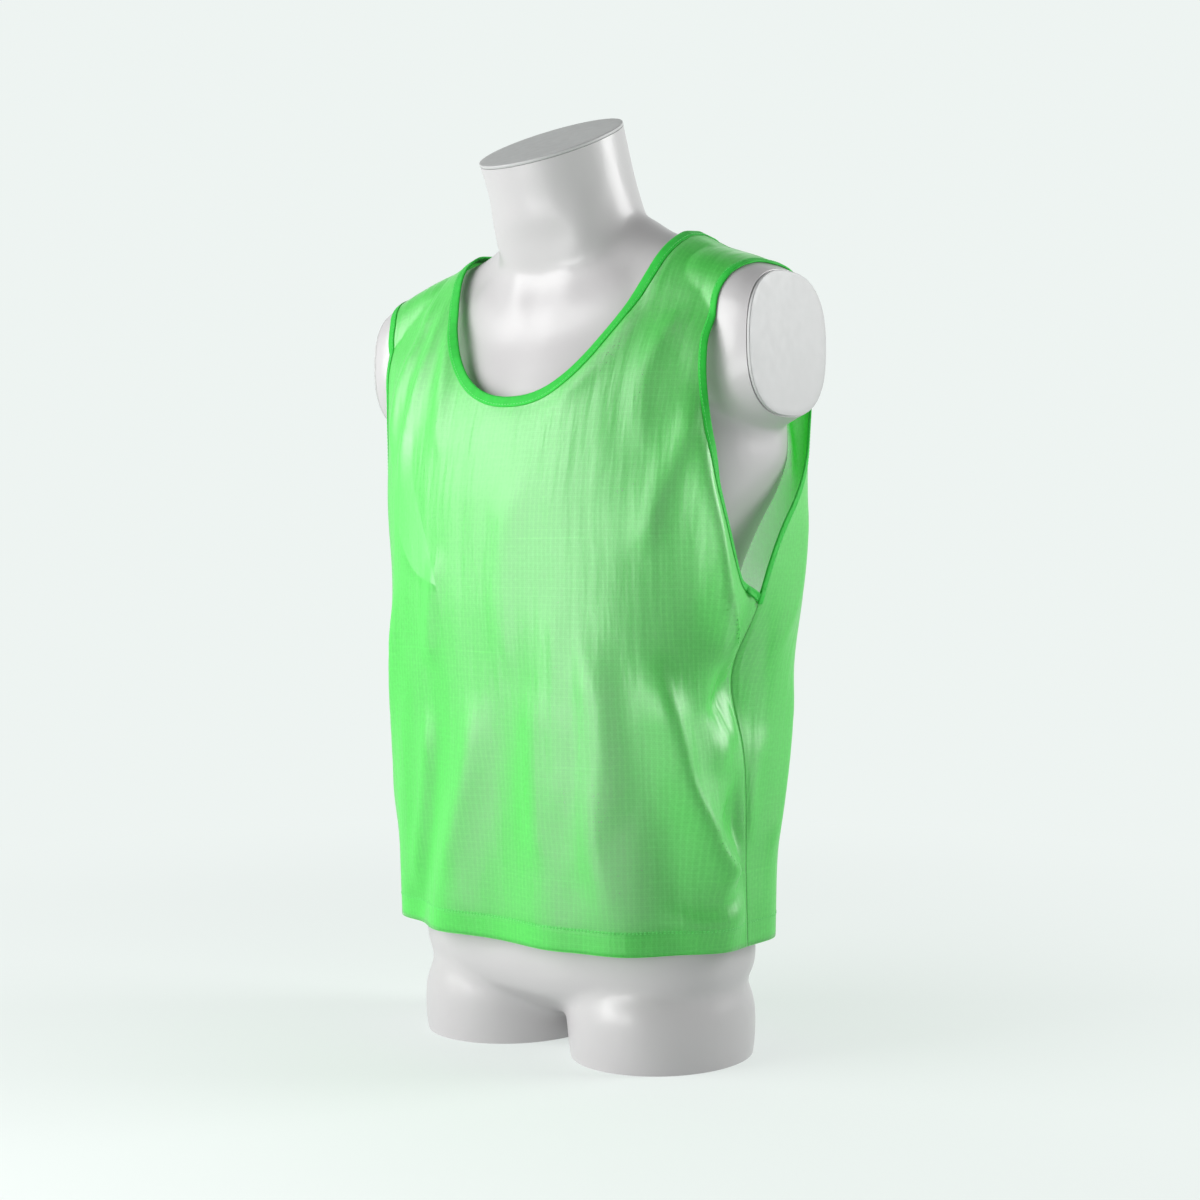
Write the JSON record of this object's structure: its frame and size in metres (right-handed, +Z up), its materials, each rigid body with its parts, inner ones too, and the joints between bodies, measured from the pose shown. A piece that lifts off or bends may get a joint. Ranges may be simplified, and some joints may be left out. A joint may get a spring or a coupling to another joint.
{
  "type": "scrimmage vest on a display form",
  "caption": "Sleeveless mesh training vest with a bound round neck, bound armholes and an open hem, worn by a smooth limbless torso form that stands on its thigh ends.",
  "frame": {"origin": "under the middle of the box round the whole object, on the surface it stands on", "axes": "+Z up along the form, -Y the way the front of the vest faces, +X the wearer's left"},
  "size_m": [0.4506, 0.2843, 0.8751],
  "materials": {
    "mesh": "sheer bright green knitted mesh",
    "tape": "green knitted binding",
    "shell": "glossy white",
    "cap": "satin light grey"
  },
  "bodies": {
    "root": {"front_panel": "mesh", "back_panel": "mesh", "front_hem": "mesh", "back_hem": "mesh", "neck_tape": "tape", "armhole_tape_left": "tape", "armhole_tape_right": "tape", "form_body": "shell", "form_neck_cap": "cap", "form_arm_cap_left": "cap", "form_arm_cap_right": "cap"}
  },
  "joints": []
}
